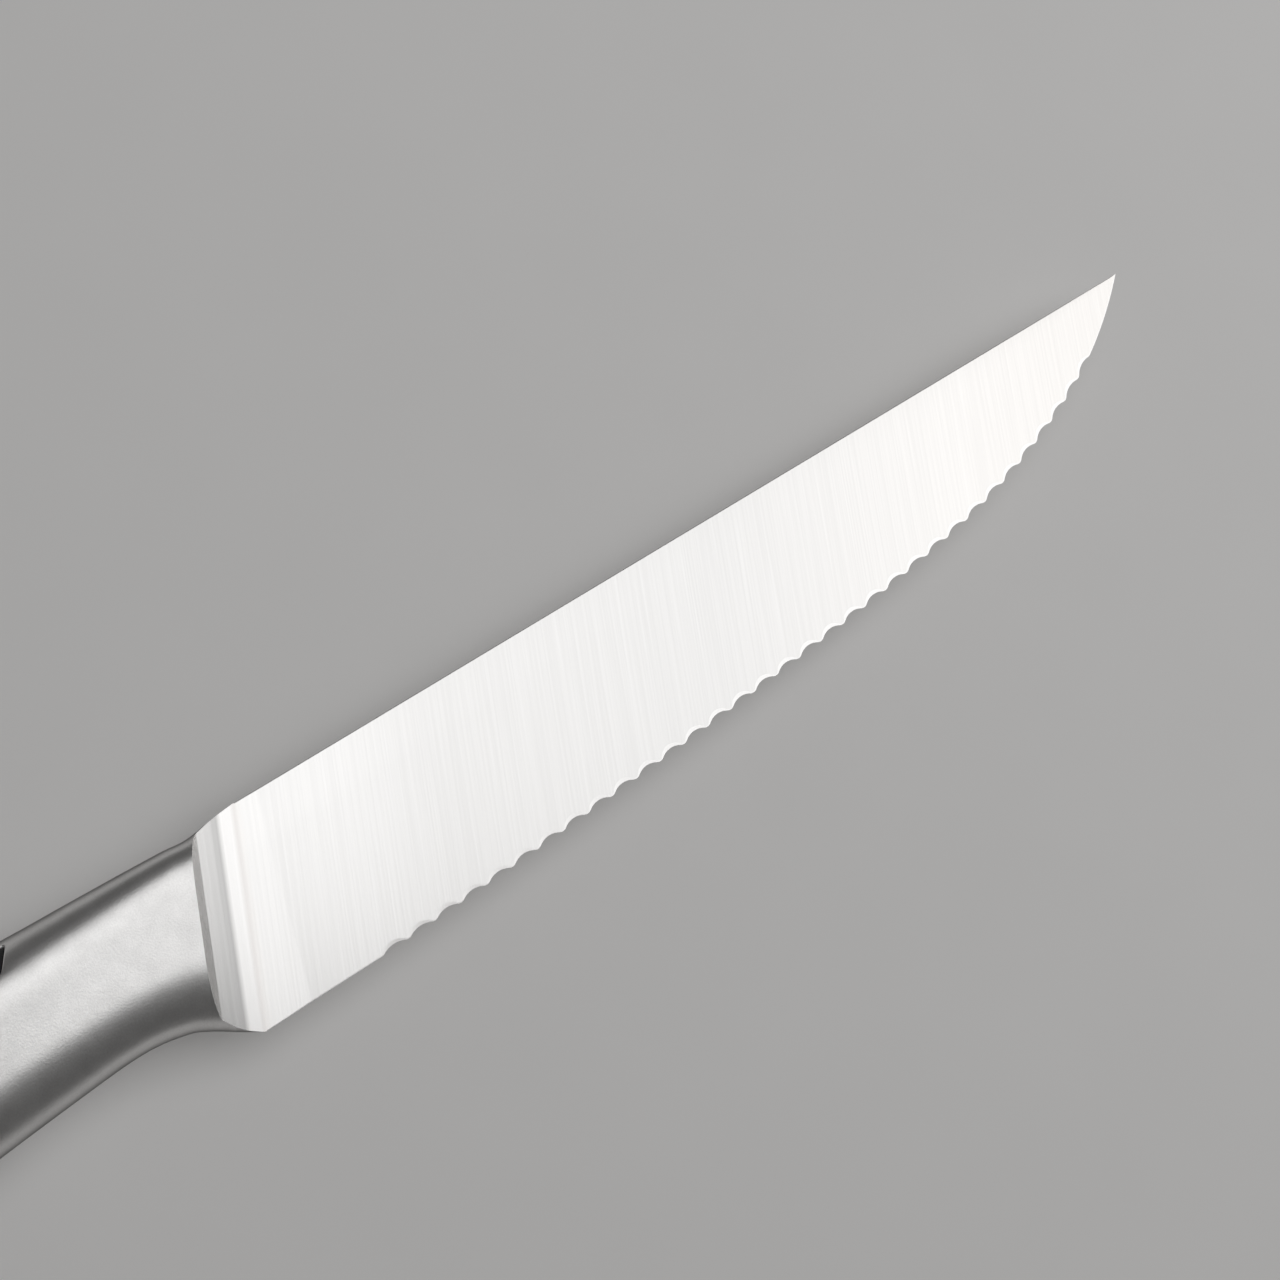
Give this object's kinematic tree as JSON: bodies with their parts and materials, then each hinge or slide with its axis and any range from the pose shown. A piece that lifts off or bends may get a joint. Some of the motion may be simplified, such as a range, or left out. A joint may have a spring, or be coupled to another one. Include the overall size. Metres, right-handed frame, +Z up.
{
  "type": "steak knife",
  "caption": "Steak knife with a scalloped ground steel blade, a bolster, a hollow blasted steel handle and inlaid black grip strips.",
  "frame": {"origin": "middle of the knife's outline, level with the surface that its right or left side lies on", "axes": "+X to the point, +Y to the spine, +Z up out of the right side"},
  "size_m": [0.2374, 0.0232, 0.0136],
  "materials": {
    "ground_steel": "satin, ground across the blade in fine slanting lines",
    "blasted_steel": "bead-blasted satin",
    "black_plastic": "fine matt",
    "resin": "cast, hidden",
    "weight_steel": "as drawn, hidden"
  },
  "bodies": {
    "root": {"blade": "ground_steel", "handle_shell_right": "blasted_steel", "handle_shell_left": "blasted_steel", "grip_strip_upper_right": "black_plastic", "grip_strip_lower_right": "black_plastic", "grip_strip_upper_left": "black_plastic", "grip_strip_lower_left": "black_plastic", "handle_filler": "resin", "balance_weight": "weight_steel"}
  },
  "joints": []
}
